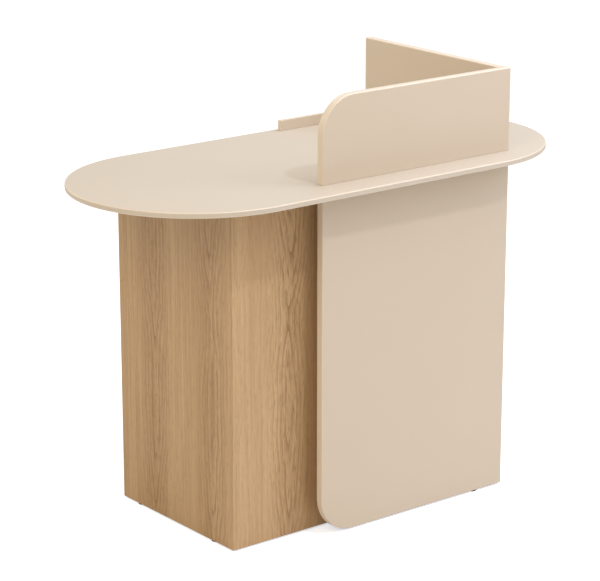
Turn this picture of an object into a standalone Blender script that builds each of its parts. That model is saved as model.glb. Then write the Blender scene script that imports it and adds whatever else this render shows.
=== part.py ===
"""Checkout counter: a racetrack worktop on an oak cabinet with a cream front panel and privacy screen.

Metres. The origin is on the floor under the middle of the worktop: +Z up, the customer at -Y, the
operator at +Y, the worktop's length along X. Boards meet their neighbours with a gap of FIT.
"""
import math

import bmesh
import bpy
from mathutils import Matrix, Vector

# ---- driving dimensions ----
FIT = 0.0003                # gap between boards that touch
REVEAL = 0.002              # gap round a drawer front or a door
EASE = 0.0008               # small rounding on a board's edges
CREAM_EASE = 0.002          # larger rounding on the lacquered boards

WORKTOP_LENGTH = 1.200
WORKTOP_WIDTH = 0.570
WORKTOP_TOP = 0.800
WORKTOP_THICK = 0.012
OAK = 0.018                 # oak-faced board
CREAM = 0.020               # lacquered board
LEFT_OVERHANG = 0.256       # worktop's left tip to the oak side
RIGHT_OVERHANG = 0.206      # worktop's right tip to the cream gable
FRONT_OVERHANG = 0.075      # worktop's front edge to the cream panel
REAR_OVERHANG = 0.018       # worktop's rear edge to the cabinet's back
PANEL_STANDOFF = 0.037      # cream panel to oak front
PANEL_WIDTH = 0.537
CORNER_RADIUS = 0.085       # rounded corner of the panel and of the screen
SCREEN_HEIGHT = 0.189
RETURN_DEPTH = 0.4615       # screen return, behind the screen's front board
UPSTAND_LENGTH = 0.2635
UPSTAND_HEIGHT = 0.025
UPSTAND_THICK = 0.010
GLIDE_HEIGHT = 0.003
GLIDE_RADIUS = 0.0085
GLIDE_INSET = 0.060         # glide's centre from the end of its board

PLINTH_HEIGHT = 0.060
PLINTH_SETBACK = 0.030
RAIL_HEIGHT = 0.050
SPACER_WIDTH = 0.040
SPACER_INSET = 0.060
DRAWER_BAY_WIDTH = 0.340
DRAWER_BAY_HEIGHT = 0.126
SHELF_SETBACK = 0.010
SHELF_HOLES = 7
SHELF_HOLE_PITCH = 0.032
SHELF_HOLE_LOWEST = 0.230   # lowest hole above the bottom board
SHELF_PIN_LEVEL = 3         # hole that holds the shelf, counted from the lowest
PIN_RADIUS = 0.0025
PIN_DEPTH = 0.008
PIN_HEAD_LIP = 0.0015       # pin's head wider than its stem, all round
PIN_HEAD_LENGTH = 0.009
PIN_INSET = 0.040           # pins from the shelf's front and rear edges

RUNNER_THICK = 0.0127
RUNNER_HEIGHT = 0.045
RUNNER_LENGTH = 0.350
RUNNER_STEEL = 0.0012
RUNNER_RACE = 0.0013        # room for the balls between two members
DRAWER_SIDE = 0.012
DRAWER_SIDE_HEIGHT = 0.090
DRAWER_BOTTOM = 0.006
DRAWER_FLOOR_RISE = 0.010   # drawer floor above the lower edge of its sides
GROOVE_DEPTH = 0.006

PULL_FLANGE_LIP = 0.004     # flange beyond the cup, all round
PULL_FLANGE_THICK = 0.0015
PULL_CUP_RADIUS = 0.025
PULL_UNDERCUT = 0.002       # mouth narrower than the inside, all round
PULL_DEPTH = 0.013
PULL_WALL = 0.0015
PULL_FROM_EDGE = 0.060      # door pull's centre from the door's free edge
DOOR_PULL_DROP = 0.120      # door pull's centre below the door's top edge

LOCK_FLANGE_LIP = 0.003     # flange beyond the barrel, all round
LOCK_FLANGE_THICK = 0.0015
LOCK_BARREL_WALL = 0.0025
LOCK_PLUG_RADIUS = 0.0055
LOCK_CAM_REACH = 0.030
LOCK_CAM_WIDTH = 0.012
LOCK_CAM_THICK = 0.002
LOCK_CLEAR = 0.0006         # cam behind the rail it catches
DRAWER_LOCK_DROP = 0.020    # lock's centre below the drawer front's top edge
DOOR_LOCK_INSET = 0.022     # lock's centre from the door's free edge
DOOR_LOCK_DROP = 0.220      # lock's centre below the door's top edge
KEYWAY_WIDTH = 0.0016
KEYWAY_HEIGHT = 0.0070
KEYWAY_DEPTH = 0.004

HINGE_HEIGHT = 0.050
HINGE_LEAF = 0.0015
HINGE_FIXED_WIDTH = 0.0145
HINGE_DOOR_WIDTH = 0.0200
HINGE_KNUCKLE_WALL = 0.0016
HINGE_PIN_RADIUS = 0.0016
HINGE_PIN_CLEAR = 0.0003
HINGE_GAP = 0.0005          # between one knuckle and the next
HINGE_FROM_END = 0.070      # hinge's middle from the door's top or bottom edge
HINGE_PIN_HEAD = 0.0012

CATCH_LENGTH = 0.045
CATCH_DEPTH = 0.013
CATCH_HEIGHT = 0.014
CATCH_PLATE = 0.0012
CATCH_FROM_EDGE = 0.100

GROMMET_HOLE_RADIUS = 0.030
GROMMET_WALL = 0.002
GROMMET_FLANGE_LIP = 0.006  # flange beyond the hole, all round
GROMMET_FLANGE_THICK = 0.002
GROMMET_LEDGE = 0.003
GROMMET_CAP_THICK = 0.003
GROMMET_CLEAR = 0.0006
GROMMET_NOTCH_WIDTH = 0.016
GROMMET_NOTCH_DEPTH = 0.013
GROMMET_FROM_RAIL = 0.010   # hole's edge behind the front rail, so that cables drop into the bay
GROMMET_FROM_RETURN = 0.060

ARC_STEPS = 24              # steps in a quarter of a large round
TURN_STEPS = 32             # steps in a turned part

# ---- planes that follow from them ----
LEFT = -WORKTOP_LENGTH / 2 + LEFT_OVERHANG
RIGHT = WORKTOP_LENGTH / 2 - RIGHT_OVERHANG
LEFT_IN = LEFT + OAK
RIGHT_IN = RIGHT - CREAM
PANEL_FRONT = -WORKTOP_WIDTH / 2 + FRONT_OVERHANG
PANEL_BACK = PANEL_FRONT + CREAM
OAK_FRONT = PANEL_BACK + PANEL_STANDOFF
OAK_BACK = OAK_FRONT + OAK
REAR = WORKTOP_WIDTH / 2 - REAR_OVERHANG
FACE_BACK = REAR - OAK      # inner face of the drawer front, the door and the rear rail
FLOOR = GLIDE_HEIGHT + FIT
UNDERSIDE = WORKTOP_TOP - WORKTOP_THICK - FIT
PANEL_LEFT = RIGHT - PANEL_WIDTH
DIVIDER_LEFT = LEFT_IN + DRAWER_BAY_WIDTH
DIVIDER_RIGHT = DIVIDER_LEFT + OAK
BOTTOM_TOP = PLINTH_HEIGHT + OAK
RAIL_BOTTOM = UNDERSIDE - RAIL_HEIGHT
DECK_TOP = RAIL_BOTTOM - DRAWER_BAY_HEIGHT
DECK_BOTTOM = DECK_TOP - OAK
DRAWER_MID = (LEFT_IN + DIVIDER_LEFT) / 2
DRAWER_HALF = DRAWER_BAY_WIDTH / 2 - RUNNER_THICK
DRAWER_LOW = DECK_TOP + (DRAWER_BAY_HEIGHT - DRAWER_SIDE_HEIGHT) / 2
DRAWER_HIGH = DRAWER_LOW + DRAWER_SIDE_HEIGHT
RUNNER_END = FACE_BACK - REVEAL
DOOR_LEFT = LEFT_IN + REVEAL
DOOR_RIGHT = DIVIDER_LEFT - REVEAL
DOOR_LOW = BOTTOM_TOP + REVEAL
DOOR_HIGH = DECK_BOTTOM - REVEAL
HINGE_BORE_RADIUS = HINGE_PIN_RADIUS + HINGE_PIN_CLEAR
HINGE_KNUCKLE_RADIUS = HINGE_BORE_RADIUS + HINGE_KNUCKLE_WALL
HINGE_AXIS = Vector(((LEFT_IN + DOOR_LEFT) / 2, REAR + FIT + HINGE_KNUCKLE_RADIUS, 0.0))
PIN_HEAD_RADIUS = PIN_RADIUS + PIN_HEAD_LIP
PULL_FLANGE_RADIUS = PULL_CUP_RADIUS + PULL_FLANGE_LIP
PULL_INSIDE_RADIUS = PULL_CUP_RADIUS - PULL_WALL
PULL_MOUTH_RADIUS = PULL_INSIDE_RADIUS - PULL_UNDERCUT
LOCK_BARREL_RADIUS = LOCK_PLUG_RADIUS + LOCK_BARREL_WALL
LOCK_FLANGE_RADIUS = LOCK_BARREL_RADIUS + LOCK_FLANGE_LIP
GROMMET_FLANGE_RADIUS = GROMMET_HOLE_RADIUS + GROMMET_FLANGE_LIP
SHELF_PIN_Z = BOTTOM_TOP + SHELF_HOLE_LOWEST + SHELF_PIN_LEVEL * SHELF_HOLE_PITCH

CREAM_PAINT = ("cream_lacquer", (0.72, 0.60, 0.46), 0.42, 0.0)
OAK_VENEER = ("oak_veneer", (0.48, 0.31, 0.16), 0.55, 0.0)
WHITE_BOARD = ("white_drawer_board", (0.78, 0.76, 0.72), 0.50, 0.0)
ZINC = ("zinc_plated_steel", (0.62, 0.63, 0.64), 0.32, 1.0)
NICKEL = ("satin_nickel", (0.66, 0.63, 0.58), 0.30, 1.0)
NYLON = ("grey_nylon", (0.22, 0.22, 0.23), 0.55, 0.0)
CREAM_PLASTIC = ("cream_plastic", (0.70, 0.60, 0.48), 0.45, 0.0)

ALONG_X = Matrix.Rotation(math.radians(90), 4, "Y")
ALONG_Y = Matrix.Rotation(math.radians(-90), 4, "X")
UPRIGHT = Matrix.Rotation(math.radians(90), 4, "X")


# ---- scene, materials and helpers ----
def clear_scene():
    for old in list(bpy.data.objects):
        bpy.data.objects.remove(old, do_unlink=True)


def new_collection(name):
    made = bpy.data.collections.new(name)
    bpy.context.scene.collection.children.link(made)
    return made


def finish_material(finish):
    name, colour, roughness, metallic = finish
    found = bpy.data.materials.get(name)
    if found:
        return found
    made = bpy.data.materials.new(name)
    made.use_nodes = True
    shader = made.node_tree.nodes["Principled BSDF"]
    shader.inputs["Base Color"].default_value = (*colour, 1.0)
    shader.inputs["Roughness"].default_value = roughness
    shader.inputs["Metallic"].default_value = metallic
    return made


def place(name, mesh, where, finish, axis=None):
    """The mesh as a named piece at this place (a matrix), riding on an axis empty if one is given."""
    obj = bpy.data.objects.new(name, mesh)
    obj.matrix_world = where
    if finish is None:
        CUTTERS.objects.link(obj)
        obj.hide_render = True
        obj.display_type = "WIRE"
    else:
        PARTS.objects.link(obj)
        mesh.materials.clear()
        mesh.materials.append(finish_material(finish))
    if axis:
        obj.parent = axis
        obj.matrix_parent_inverse = Matrix.Translation(-axis.location)
    return obj


def axis_empty(name, where):
    empty = bpy.data.objects.new(name, None)
    empty.location = where
    empty.empty_display_size = 0.05
    PARTS.objects.link(empty)
    return empty


def ease(obj, width, segments=2):
    """Rounds the piece's sharp edges."""
    bevel = obj.modifiers.new("ease", "BEVEL")
    bevel.width = width
    bevel.segments = segments
    bevel.limit_method = "ANGLE"
    bevel.angle_limit = math.radians(40)
    return obj


def cut(obj, cutter):
    step = obj.modifiers.new("cut_" + cutter.name, "BOOLEAN")
    step.operation = "DIFFERENCE"
    step.object = cutter
    return obj


def join(obj, other):
    step = obj.modifiers.new("join_" + other.name, "BOOLEAN")
    step.operation = "UNION"
    step.object = other
    return obj


def block(name, low, high, finish, axis=None, round_edges=EASE):
    """A board between two corners; finish None makes it a cutter."""
    low = Vector(low)
    high = Vector(high)
    size = high - low
    mesh = bpy.data.meshes.new(name)
    shape = bmesh.new()
    bmesh.ops.create_cube(shape, size=1.0, matrix=Matrix.Diagonal((*size, 1.0)))
    shape.to_mesh(mesh)
    shape.free()
    obj = place(name, mesh, Matrix.Translation((low + high) / 2), finish, axis)
    if finish and round_edges:
        ease(obj, round_edges)
    return obj


def round_bar(name, radius, length, sides=TURN_STEPS):
    mesh = bpy.data.meshes.new(name)
    shape = bmesh.new()
    bmesh.ops.create_cone(shape, cap_ends=True, segments=sides, radius1=radius, radius2=radius, depth=length)
    shape.to_mesh(mesh)
    shape.free()
    return mesh


def rod(name, centre, radius, length, along, axis=None):
    """A round cutter centred here, its length along the turned Z axis."""
    return place(name, round_bar(name, radius, length), Matrix.Translation(centre) @ along, None, axis)


def plate(name, outline, thickness, where, finish, axis=None):
    """A flat outline given thickness about its own plane, made a mesh so that it can be cut and eased."""
    curve = bpy.data.curves.new(name, "CURVE")
    curve.dimensions = "2D"
    curve.fill_mode = "BOTH"
    curve.extrude = thickness / 2
    spline = curve.splines.new("POLY")
    spline.points.add(len(outline) - 1)
    for point, (x, y) in zip(spline.points, outline):
        point.co = (x, y, 0.0, 1.0)
    spline.use_cyclic_u = True
    drawn = bpy.data.objects.new(name + "_outline", curve)
    PARTS.objects.link(drawn)
    bpy.context.view_layer.update()
    graph = bpy.context.evaluated_depsgraph_get()
    mesh = bpy.data.meshes.new_from_object(drawn.evaluated_get(graph))
    mesh.name = name
    bpy.data.objects.remove(drawn, do_unlink=True)
    shape = bmesh.new()
    shape.from_mesh(mesh)
    bmesh.ops.remove_doubles(shape, verts=shape.verts, dist=1e-6)
    bmesh.ops.dissolve_limit(shape, angle_limit=math.radians(0.1), verts=shape.verts, edges=shape.edges)
    bmesh.ops.recalc_face_normals(shape, faces=shape.faces)
    shape.to_mesh(mesh)
    shape.free()
    return place(name, mesh, where, finish, axis)


def turned(name, profile, where, finish, axis=None, closed=False, steps=TURN_STEPS):
    """A profile of (radius, height) points spun about its own Z; it runs down its outer side."""
    mesh = bpy.data.meshes.new(name)
    shape = bmesh.new()
    points = [shape.verts.new((radius, 0.0, height)) for radius, height in profile]
    ends = zip(points, points[1:] + points[:1]) if closed else zip(points, points[1:])
    for start, end in ends:
        shape.edges.new((start, end))
    shape.to_mesh(mesh)
    shape.free()
    obj = place(name, mesh, where, finish, axis)
    screw = obj.modifiers.new("turn", "SCREW")
    screw.steps = steps
    screw.render_steps = steps
    screw.use_merge_vertices = True
    screw.merge_threshold = 0.00001
    screw.use_smooth_shade = True
    return obj


def arc(centre, radius, start, end, steps=ARC_STEPS):
    """Points of an arc, in degrees, both ends included."""
    turn = [math.radians(start + (end - start) * i / steps) for i in range(steps + 1)]
    return [(centre[0] + radius * math.cos(a), centre[1] + radius * math.sin(a)) for a in turn]


def standing(y):
    """Stands a plate that is drawn with x across and y up, its mid-plane here."""
    return Matrix.Translation((0.0, y, 0.0)) @ UPRIGHT


# ---- worktop, screen and cable outlet ----
def build_top():
    radius = WORKTOP_WIDTH / 2
    half_straight = WORKTOP_LENGTH / 2 - radius
    outline = arc((half_straight, 0.0), radius, -90, 90, 2 * ARC_STEPS)
    outline += arc((-half_straight, 0.0), radius, 90, 270, 2 * ARC_STEPS)
    height = Matrix.Translation((0.0, 0.0, WORKTOP_TOP - WORKTOP_THICK / 2))
    worktop = plate("worktop", outline, WORKTOP_THICK, height, CREAM_PAINT)
    ease(worktop, CREAM_EASE, 3)
    outlet_y = OAK_BACK + FIT + OAK + GROMMET_FROM_RAIL + GROMMET_HOLE_RADIUS
    outlet = Vector((RIGHT_IN - GROMMET_FROM_RETURN, outlet_y, WORKTOP_TOP))
    hole = rod("outlet_hole", outlet, GROMMET_HOLE_RADIUS, 4 * WORKTOP_THICK, Matrix())
    cut(worktop, hole)

    base = WORKTOP_TOP + FIT
    top = WORKTOP_TOP + SCREEN_HEIGHT
    outline = [(RIGHT, base), (RIGHT, top)]
    outline += arc((PANEL_LEFT + CORNER_RADIUS, top - CORNER_RADIUS), CORNER_RADIUS, 90, 180)
    outline += [(PANEL_LEFT, base)]
    screen = plate("screen_front", outline, CREAM, standing((PANEL_FRONT + PANEL_BACK) / 2), CREAM_PAINT)
    ease(screen, CREAM_EASE, 3)
    end = PANEL_BACK + RETURN_DEPTH
    block("screen_return", (RIGHT_IN, PANEL_BACK + FIT, base), (RIGHT, end, top), CREAM_PAINT,
          round_edges=CREAM_EASE)
    block("rear_upstand", (RIGHT_IN - UPSTAND_LENGTH, end - UPSTAND_THICK, base),
          (RIGHT_IN - FIT, end, WORKTOP_TOP + UPSTAND_HEIGHT), CREAM_PAINT)
    build_outlet(outlet)


def build_outlet(outlet):
    """A flanged ring in the worktop, with a notched cap that turns on its ledge."""
    outer = GROMMET_HOLE_RADIUS - FIT
    bore = outer - GROMMET_WALL
    rise = FIT + GROMMET_FLANGE_THICK
    cap_low = rise - GROMMET_CAP_THICK
    ledge_top = cap_low - FIT
    ledge_low = ledge_top - GROMMET_WALL
    skirt_low = -WORKTOP_THICK
    profile = [(bore, rise), (GROMMET_FLANGE_RADIUS - EASE, rise), (GROMMET_FLANGE_RADIUS, rise - EASE),
               (GROMMET_FLANGE_RADIUS, FIT), (outer, FIT), (outer, skirt_low), (bore, skirt_low),
               (bore, ledge_low), (bore - GROMMET_LEDGE, ledge_low), (bore - GROMMET_LEDGE, ledge_top),
               (bore, ledge_top)]
    turned("grommet_ring", profile, Matrix.Translation(outlet), CREAM_PLASTIC, closed=True)

    axis = axis_empty("grommet_axis", outlet)
    radius = bore - GROMMET_CLEAR
    profile = [(0.0, rise), (radius - EASE, rise), (radius, rise - EASE), (radius, cap_low),
               (0.0, cap_low)]
    cap = turned("grommet_cap", profile, Matrix.Translation(outlet), CREAM_PLASTIC, axis)
    half = GROMMET_NOTCH_WIDTH / 2
    notch = block("grommet_notch", outlet + Vector((-half, radius - GROMMET_NOTCH_DEPTH, -WORKTOP_THICK)),
                  outlet + Vector((half, 2 * radius, WORKTOP_THICK)), None, axis)
    cut(cap, notch)


# ---- cream and oak boards of the cabinet ----
def build_shell():
    outline = arc((PANEL_LEFT + CORNER_RADIUS, FLOOR + CORNER_RADIUS), CORNER_RADIUS, 180, 270)
    outline += [(RIGHT, FLOOR), (RIGHT, UNDERSIDE), (PANEL_LEFT, UNDERSIDE)]
    panel = plate("front_panel", outline, CREAM, standing((PANEL_FRONT + PANEL_BACK) / 2), CREAM_PAINT)
    ease(panel, CREAM_EASE, 3)
    gable = block("right_gable", (RIGHT_IN, PANEL_BACK + FIT, FLOOR), (RIGHT, REAR, UNDERSIDE), CREAM_PAINT,
                  round_edges=CREAM_EASE)

    middle = Matrix.Translation((0.0, 0.0, (FLOOR + UNDERSIDE) / 2))
    height = UNDERSIDE - FLOOR
    mitre = FIT * math.sqrt(2)
    front_end = RIGHT_IN - FIT
    front = [(LEFT, OAK_FRONT), (front_end, OAK_FRONT), (front_end, OAK_BACK), (LEFT_IN, OAK_BACK)]
    ease(plate("front_board", front, height, middle, OAK_VENEER), EASE / 2, 1)
    side = [(LEFT, OAK_FRONT + mitre), (LEFT_IN, OAK_BACK + mitre), (LEFT_IN, REAR), (LEFT, REAR)]
    ease(plate("left_side", side, height, middle, OAK_VENEER), EASE / 2, 1)

    spacer_back = OAK_FRONT - FIT
    starts = {"left": PANEL_LEFT + SPACER_INSET, "right": RIGHT_IN - SPACER_INSET - SPACER_WIDTH}
    for side_name, start in starts.items():
        block(f"panel_spacer_{side_name}", (start, PANEL_BACK + FIT, PLINTH_HEIGHT),
              (start + SPACER_WIDTH, spacer_back, UNDERSIDE), OAK_VENEER)
    return gable


def build_carcass(gable):
    inner_left = LEFT_IN + FIT
    inner_right = RIGHT_IN - FIT
    inner_front = OAK_BACK + FIT
    block("bottom_board", (inner_left, inner_front, PLINTH_HEIGHT), (inner_right, REAR, BOTTOM_TOP),
          OAK_VENEER)
    plinth_back = REAR - PLINTH_SETBACK
    block("plinth", (inner_left, plinth_back - OAK, FLOOR), (inner_right, plinth_back, PLINTH_HEIGHT - FIT),
          OAK_VENEER)
    rail_back = inner_front + OAK
    block("top_rail_rear", (inner_left, FACE_BACK, RAIL_BOTTOM), (inner_right, REAR, UNDERSIDE), OAK_VENEER)
    block("top_rail_front", (inner_left, inner_front, RAIL_BOTTOM), (inner_right, rail_back, UNDERSIDE),
          OAK_VENEER)

    divider = block("divider", (DIVIDER_LEFT, inner_front, BOTTOM_TOP + FIT),
                    (DIVIDER_RIGHT, REAR, UNDERSIDE), OAK_VENEER, round_edges=None)
    notches = {"rear": (FACE_BACK - FIT, REAR + OAK), "front": (OAK_FRONT, rail_back + FIT)}
    for end, (start, stop) in notches.items():
        cut(divider, block(f"rail_notch_{end}", (DIVIDER_LEFT - OAK, start, RAIL_BOTTOM - FIT),
                           (DIVIDER_RIGHT + OAK, stop, WORKTOP_TOP), None))
    block("drawer_deck", (inner_left, inner_front, DECK_BOTTOM), (DIVIDER_LEFT - FIT, REAR, DECK_TOP),
          OAK_VENEER)
    block("niche_shelf", (DIVIDER_RIGHT + FIT, inner_front, DECK_BOTTOM), (inner_right, REAR, DECK_TOP),
          OAK_VENEER)
    build_open_shelf(divider, gable)
    return divider


def build_open_shelf(divider, gable):
    """The open bay's adjustable shelf on four pins, in two rows of holes on each side."""
    shelf_low = SHELF_PIN_Z + PIN_HEAD_RADIUS + FIT
    shelf_front = OAK_BACK + SHELF_SETBACK
    shelf_rear = REAR - SHELF_SETBACK
    block("open_shelf", (DIVIDER_RIGHT + FIT + REVEAL / 2, shelf_front, shelf_low),
          (RIGHT_IN - FIT - REVEAL / 2, shelf_rear, shelf_low + OAK), OAK_VENEER)
    rows = (shelf_front + PIN_INSET, shelf_rear - PIN_INSET)
    drill = round_bar("pin_drill", PIN_RADIUS + FIT, 2 * (PIN_DEPTH + FIT), TURN_STEPS // 4)
    tip = EASE / 2
    profile = [(0.0, PIN_HEAD_LENGTH), (PIN_HEAD_RADIUS - tip, PIN_HEAD_LENGTH),
               (PIN_HEAD_RADIUS, PIN_HEAD_LENGTH - tip), (PIN_HEAD_RADIUS, FIT), (PIN_RADIUS, FIT),
               (PIN_RADIUS, tip - PIN_DEPTH), (PIN_RADIUS - tip, -PIN_DEPTH), (0.0, -PIN_DEPTH)]
    number = 0
    for wall, board, facing in ((DIVIDER_RIGHT, divider, ALONG_X), (RIGHT_IN, gable, ALONG_X.inverted())):
        for y in rows:
            number += 1
            for level in range(SHELF_HOLES):
                z = BOTTOM_TOP + SHELF_HOLE_LOWEST + level * SHELF_HOLE_PITCH
                spot = Matrix.Translation((wall, y, z)) @ facing
                cut(board, place(f"pin_hole_{number}_{level}", drill, spot, None))
            spot = Matrix.Translation((wall, y, SHELF_PIN_Z)) @ facing
            turned(f"shelf_pin_{number}", profile, spot, ZINC, steps=TURN_STEPS // 2)


def build_glides():
    """Thin pads under the boards that reach the floor."""
    left_mid = (LEFT + LEFT_IN) / 2
    right_mid = (RIGHT_IN + RIGHT) / 2
    plinth_mid = REAR - PLINTH_SETBACK - OAK / 2
    spots = [(left_mid, OAK_BACK + GLIDE_INSET), (left_mid, REAR - GLIDE_INSET),
             (right_mid, PANEL_BACK + GLIDE_INSET), (right_mid, REAR - GLIDE_INSET),
             (RIGHT_IN - GLIDE_INSET, (PANEL_FRONT + PANEL_BACK) / 2),
             ((LEFT + RIGHT) / 2, plinth_mid)]
    profile = [(0.0, GLIDE_HEIGHT), (GLIDE_RADIUS, GLIDE_HEIGHT), (GLIDE_RADIUS, EASE),
               (GLIDE_RADIUS - EASE, 0.0), (0.0, 0.0)]
    for number, (x, y) in enumerate(spots, start=1):
        turned(f"glide_{number}", profile, Matrix.Translation((x, y, 0.0)), NYLON, steps=TURN_STEPS // 2)


# ---- hardware shared by the drawer and the door ----
def build_pull(name, board, centre, axis):
    """A round flush cup with an undercut mouth, let into the board from the operator's side."""
    flange_top = FIT + PULL_FLANGE_THICK
    mouth_low = flange_top - 2 * PULL_FLANGE_THICK
    floor = flange_top - PULL_DEPTH
    profile = [(PULL_MOUTH_RADIUS, flange_top), (PULL_FLANGE_RADIUS - EASE, flange_top),
               (PULL_FLANGE_RADIUS, flange_top - EASE), (PULL_FLANGE_RADIUS, FIT), (PULL_CUP_RADIUS, FIT),
               (PULL_CUP_RADIUS, floor - PULL_WALL), (0.0, floor - PULL_WALL)]
    inside = [(0.0, floor), (PULL_INSIDE_RADIUS, floor), (PULL_INSIDE_RADIUS, mouth_low),
              (PULL_MOUTH_RADIUS, mouth_low)]
    turned(name, inside + profile, Matrix.Translation(centre) @ ALONG_Y, NICKEL, axis)
    pocket_depth = PULL_WALL - floor + FIT
    cut(board, rod(name + "_pocket", centre, PULL_CUP_RADIUS + FIT, 2 * pocket_depth, ALONG_Y, axis))


def build_lock(name, board, centre, axis, tongue):
    """A cam lock through the board: fixed housing, turning plug and cam, the tongue this way at rest."""
    flange_top = FIT + LOCK_FLANGE_THICK
    barrel_end = FIT - OAK
    bore = LOCK_PLUG_RADIUS + FIT
    profile = [(bore, flange_top), (LOCK_FLANGE_RADIUS - EASE, flange_top),
               (LOCK_FLANGE_RADIUS, FIT + EASE / 2), (LOCK_FLANGE_RADIUS, FIT), (LOCK_BARREL_RADIUS, FIT),
               (LOCK_BARREL_RADIUS, barrel_end), (bore, barrel_end)]
    where = Matrix.Translation(centre) @ ALONG_Y
    turned(f"{name}_housing", profile, where, NICKEL, axis, closed=True)
    cut(board, rod(f"{name}_hole", centre, LOCK_BARREL_RADIUS + FIT, 4 * OAK, ALONG_Y, axis))

    turn = axis_empty(f"{name}_axis", centre)
    turn.parent = axis
    turn.matrix_parent_inverse = Matrix.Translation(-axis.location)
    plug_back = FIT - LOCK_CLEAR - OAK
    profile = [(0.0, flange_top + EASE / 2), (LOCK_PLUG_RADIUS - EASE / 2, flange_top + EASE / 2),
               (LOCK_PLUG_RADIUS, flange_top), (LOCK_PLUG_RADIUS, plug_back), (0.0, plug_back)]
    plug = turned(f"{name}_plug", profile, where, NICKEL, turn)
    slot_high = Vector(centre) + Vector((KEYWAY_WIDTH / 2, OAK, KEYWAY_HEIGHT / 2))
    slot_low = Vector(centre) + Vector((-KEYWAY_WIDTH / 2, flange_top - KEYWAY_DEPTH, -KEYWAY_HEIGHT / 2))
    cut(plug, block(f"{name}_keyway", slot_low, slot_high, None, turn))

    cam_y = FACE_BACK - LOCK_CLEAR - LOCK_CAM_THICK / 2
    half = LOCK_CAM_WIDTH / 2
    outline = arc((0.0, 0.0), half, 90, 270, TURN_STEPS // 4)
    outline += [(LOCK_CAM_REACH, -half / 2), (LOCK_CAM_REACH, half / 2)]
    aim = Matrix.Rotation(math.atan2(tongue[1], tongue[0]), 4, "Z")
    where = Matrix.Translation((centre[0], cam_y, centre[2])) @ UPRIGHT @ aim
    plate(f"{name}_cam", outline, LOCK_CAM_THICK, where, ZINC, turn)


# ---- cash drawer ----
def build_drawer():
    axis = axis_empty("drawer_axis", (DRAWER_MID, FACE_BACK, DRAWER_LOW))
    left = DRAWER_MID - DRAWER_HALF
    right = DRAWER_MID + DRAWER_HALF
    back = RUNNER_END - RUNNER_LENGTH
    front_low = DECK_TOP + REVEAL
    front_high = RAIL_BOTTOM - REVEAL
    front = block("drawer_front", (LEFT_IN + REVEAL, FACE_BACK, front_low),
                  (DIVIDER_LEFT - REVEAL, REAR, front_high), OAK_VENEER, axis, round_edges=None)
    build_pull("drawer_pull", front, Vector((DRAWER_MID, REAR, (DRAWER_LOW + DRAWER_HIGH) / 2)), axis)
    lock_x = DRAWER_MID + DRAWER_HALF / 2
    build_lock("drawer_lock", front, Vector((lock_x, REAR, front_high - DRAWER_LOCK_DROP)), axis, (-1, 0))

    side_end = FACE_BACK - FIT
    floor_low = DRAWER_LOW + DRAWER_FLOOR_RISE
    floor_high = floor_low + DRAWER_BOTTOM
    groove_low = floor_low - FIT
    groove_high = floor_high + FIT
    edges = {"left": (left + FIT, left + DRAWER_SIDE), "right": (right - DRAWER_SIDE, right - FIT)}
    for name, (start, end) in edges.items():
        board = block(f"drawer_side_{name}", (start, back, DRAWER_LOW), (end, side_end, DRAWER_HIGH),
                      WHITE_BOARD, axis, round_edges=None)
        inner = end if name == "left" else start
        groove = block(f"floor_groove_{name}", (inner - GROOVE_DEPTH, back - OAK, groove_low),
                       (inner + GROOVE_DEPTH, REAR, groove_high), None, axis)
        cut(board, groove)
    inner_left = left + DRAWER_SIDE
    inner_right = right - DRAWER_SIDE
    block("drawer_back", (inner_left + FIT, back, groove_high),
          (inner_right - FIT, back + DRAWER_SIDE, DRAWER_HIGH), WHITE_BOARD, axis)
    block("drawer_bottom", (inner_left - GROOVE_DEPTH + FIT, back, floor_low),
          (inner_right + GROOVE_DEPTH - FIT, side_end, floor_high), WHITE_BOARD, axis, round_edges=None)
    build_runners(axis, left, right)


def channel(half_height, depth, thick):
    """Outline of a C-shaped steel strip, its web at x = 0 and its two flanges reaching to x = depth."""
    inner = half_height - thick
    return [(0.0, -half_height), (depth, -half_height), (depth, -inner), (thick, -inner), (thick, inner),
            (depth, inner), (depth, half_height), (0.0, half_height)]


def build_runners(drawer_axis, left, right):
    """Three nested channels on each side: fixed outer, half-travel middle, inner on the drawer."""
    middle_z = (DRAWER_LOW + DRAWER_HIGH) / 2
    middle_y = RUNNER_END - RUNNER_LENGTH / 2
    middle_axis = axis_empty("runner_axis", (DRAWER_MID, FACE_BACK, middle_z))
    outer_half = RUNNER_HEIGHT / 2
    middle_half = outer_half - RUNNER_STEEL - RUNNER_RACE
    inner_half = middle_half - RUNNER_STEEL - RUNNER_RACE
    reach = RUNNER_THICK - 2 * RUNNER_STEEL
    flange = (RUNNER_THICK - 2 * FIT) / 2
    members = (("outer", FIT, 1, outer_half, reach - FIT, None),
               ("middle", RUNNER_STEEL + 2 * RUNNER_RACE, 1, middle_half, flange, middle_axis),
               ("inner", RUNNER_THICK - FIT, -1, inner_half, flange - RUNNER_STEEL, drawer_axis))
    for side, wall, inward in (("left", LEFT_IN, 1), ("right", DIVIDER_LEFT, -1)):
        for name, offset, opens, half, depth, axis in members:
            outline = channel(half, depth, RUNNER_STEEL)
            if opens * inward < 0:
                outline = [(-x, z) for x, z in reversed(outline)]
            where = Matrix.Translation((wall + inward * offset, middle_y, middle_z)) @ UPRIGHT
            plate(f"runner_{name}_{side}", outline, RUNNER_LENGTH, where, ZINC, axis)


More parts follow.
